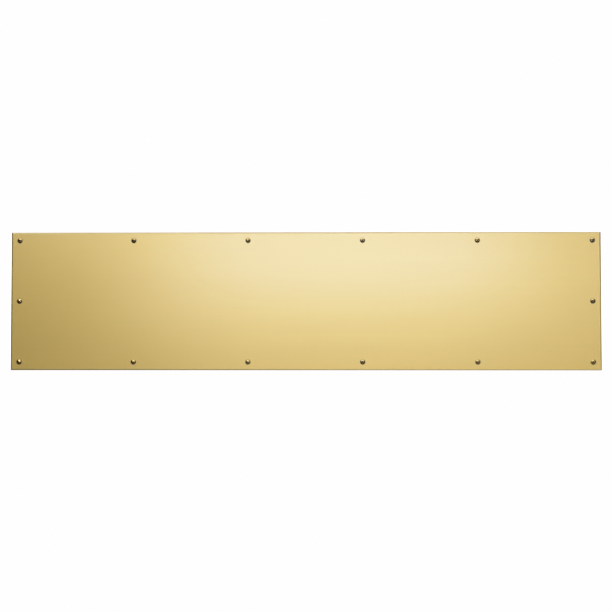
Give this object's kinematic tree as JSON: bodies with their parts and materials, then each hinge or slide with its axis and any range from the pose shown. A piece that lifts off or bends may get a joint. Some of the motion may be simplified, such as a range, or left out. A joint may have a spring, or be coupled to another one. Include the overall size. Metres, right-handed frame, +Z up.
{
  "type": "kick plate",
  "caption": "Flat rectangular brass kick plate with bevelled edges and oval-head wood screws round its border, fixed low on a door to guard it from scuffs.",
  "frame": {"origin": "centre of the plate's flat back, in the plane that lies on the door", "axes": "+X along the plate's width to the right as seen from the front, +Y into the door, +Z up; the front faces -Y"},
  "size_m": [0.8636, 0.017, 0.2032],
  "materials": {
    "satin_brass": "satin",
    "polished_brass": "polished"
  },
  "bodies": {
    "plate": {"plate": "satin_brass"},
    "screw_top_1": {"screw_top_1": "polished_brass"},
    "screw_bottom_1": {"screw_bottom_1": "polished_brass"},
    "screw_top_2": {"screw_top_2": "polished_brass"},
    "screw_bottom_2": {"screw_bottom_2": "polished_brass"},
    "screw_top_3": {"screw_top_3": "polished_brass"},
    "screw_bottom_3": {"screw_bottom_3": "polished_brass"},
    "screw_top_4": {"screw_top_4": "polished_brass"},
    "screw_bottom_4": {"screw_bottom_4": "polished_brass"},
    "screw_top_5": {"screw_top_5": "polished_brass"},
    "screw_bottom_5": {"screw_bottom_5": "polished_brass"},
    "screw_top_6": {"screw_top_6": "polished_brass"},
    "screw_bottom_6": {"screw_bottom_6": "polished_brass"},
    "screw_left": {"screw_left": "polished_brass"},
    "screw_right": {"screw_right": "polished_brass"}
  },
  "joints": [
    {"name": "screw_top_1_withdraw", "type": "slide", "parent": "plate", "child": "screw_top_1", "axis": [0, -1, 0], "range_m": [0, 0.018]},
    {"name": "screw_bottom_1_withdraw", "type": "slide", "parent": "plate", "child": "screw_bottom_1", "axis": [0, -1, 0], "range_m": [0, 0.018]},
    {"name": "screw_top_2_withdraw", "type": "slide", "parent": "plate", "child": "screw_top_2", "axis": [0, -1, 0], "range_m": [0, 0.018]},
    {"name": "screw_bottom_2_withdraw", "type": "slide", "parent": "plate", "child": "screw_bottom_2", "axis": [0, -1, 0], "range_m": [0, 0.018]},
    {"name": "screw_top_3_withdraw", "type": "slide", "parent": "plate", "child": "screw_top_3", "axis": [0, -1, 0], "range_m": [0, 0.018]},
    {"name": "screw_bottom_3_withdraw", "type": "slide", "parent": "plate", "child": "screw_bottom_3", "axis": [0, -1, 0], "range_m": [0, 0.018]},
    {"name": "screw_top_4_withdraw", "type": "slide", "parent": "plate", "child": "screw_top_4", "axis": [0, -1, 0], "range_m": [0, 0.018]},
    {"name": "screw_bottom_4_withdraw", "type": "slide", "parent": "plate", "child": "screw_bottom_4", "axis": [0, -1, 0], "range_m": [0, 0.018]},
    {"name": "screw_top_5_withdraw", "type": "slide", "parent": "plate", "child": "screw_top_5", "axis": [0, -1, 0], "range_m": [0, 0.018]},
    {"name": "screw_bottom_5_withdraw", "type": "slide", "parent": "plate", "child": "screw_bottom_5", "axis": [0, -1, 0], "range_m": [0, 0.018]},
    {"name": "screw_top_6_withdraw", "type": "slide", "parent": "plate", "child": "screw_top_6", "axis": [0, -1, 0], "range_m": [0, 0.018]},
    {"name": "screw_bottom_6_withdraw", "type": "slide", "parent": "plate", "child": "screw_bottom_6", "axis": [0, -1, 0], "range_m": [0, 0.018]},
    {"name": "screw_left_withdraw", "type": "slide", "parent": "plate", "child": "screw_left", "axis": [0, -1, 0], "range_m": [0, 0.018]},
    {"name": "screw_right_withdraw", "type": "slide", "parent": "plate", "child": "screw_right", "axis": [0, -1, 0], "range_m": [0, 0.018]}
  ]
}
